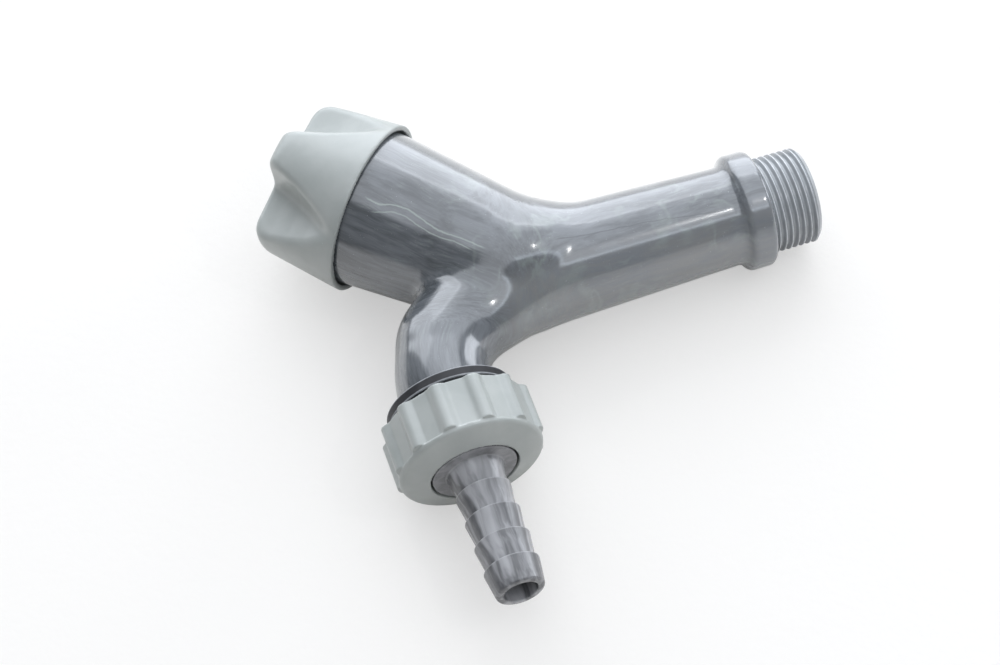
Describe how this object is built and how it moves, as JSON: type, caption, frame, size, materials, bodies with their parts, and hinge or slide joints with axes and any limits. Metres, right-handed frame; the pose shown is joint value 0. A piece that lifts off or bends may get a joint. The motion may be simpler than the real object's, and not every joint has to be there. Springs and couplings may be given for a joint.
{
  "type": "draw-off tap with hose tail",
  "caption": "Plastic draw-off tap with a male threaded inlet, a lobed screw-down knob, and a curved spout with a union nut and a barbed hose tail.",
  "frame": {"origin": "on the inlet axis, at the face of the inlet collar where the thread starts", "axes": "+X out along the inlet thread, the outlet points along -Y, +Z is the normal of the plane of the inlet, barrel and outlet axes; the part lies on its side, as in the picture"},
  "size_m": [0.1457, 0.1562, 0.0481],
  "materials": {
    "body_plastic": "marbled dark grey, glossy",
    "tail_plastic": "marbled mid grey, satin gloss",
    "knob_plastic": "sage grey, satin",
    "inner_plastic": "grey moulded",
    "seal_rubber": "black, soft sheen",
    "steel": "plain",
    "brass": "turned"
  },
  "bodies": {
    "tap_body": {"valve_body": "body_plastic", "headwork": "inner_plastic", "headwork_seal": "seal_rubber", "spindle_seal_inner": "seal_rubber", "spindle_seal_outer": "seal_rubber"},
    "valve_disc": {"jumper": "brass", "seat_washer": "seal_rubber", "washer_screw": "steel"},
    "knob_set": {"spindle": "brass", "retaining_ring": "steel", "knob": "knob_plastic", "handle_screw": "steel", "knob_cap": "knob_plastic"},
    "tail_seal": {"tail_gasket": "seal_rubber"},
    "nut": {"union_nut": "knob_plastic"},
    "tail": {"hose_tail": "tail_plastic"}
  },
  "joints": [
    {"name": "spindle_rise", "type": "slide", "parent": "tap_body", "child": "valve_disc", "axis": [-0.7071, 0.7071, 0], "range_m": [0, 0.00375]},
    {"name": "knob_turn", "type": "hinge", "parent": "valve_disc", "child": "knob_set", "pos_m": [-0.09358, 0.02828, 0], "axis": [-0.7071, 0.7071, 0], "range_deg": [0, 540]},
    {"name": "union_travel", "type": "slide", "parent": "tap_body", "child": "tail_seal", "axis": [0, -1, 0], "range_m": [0, 0.00924]},
    {"name": "nut_turn", "type": "hinge", "parent": "tail_seal", "child": "nut", "pos_m": [-0.0987, -0.042, 0], "axis": [0, -1, 0], "range_deg": [0, 1440]},
    {"name": "tail_swivel", "type": "hinge", "parent": "tail_seal", "child": "tail", "pos_m": [-0.0987, -0.06, 0], "axis": [0, -1, 0], "continuous": true}
  ],
  "couplings": [
    {"joint": "spindle_rise", "follows": "knob_turn", "m_per_rad": 0.00039789},
    {"joint": "union_travel", "follows": "nut_turn", "m_per_rad": 0.00036749}
  ]
}
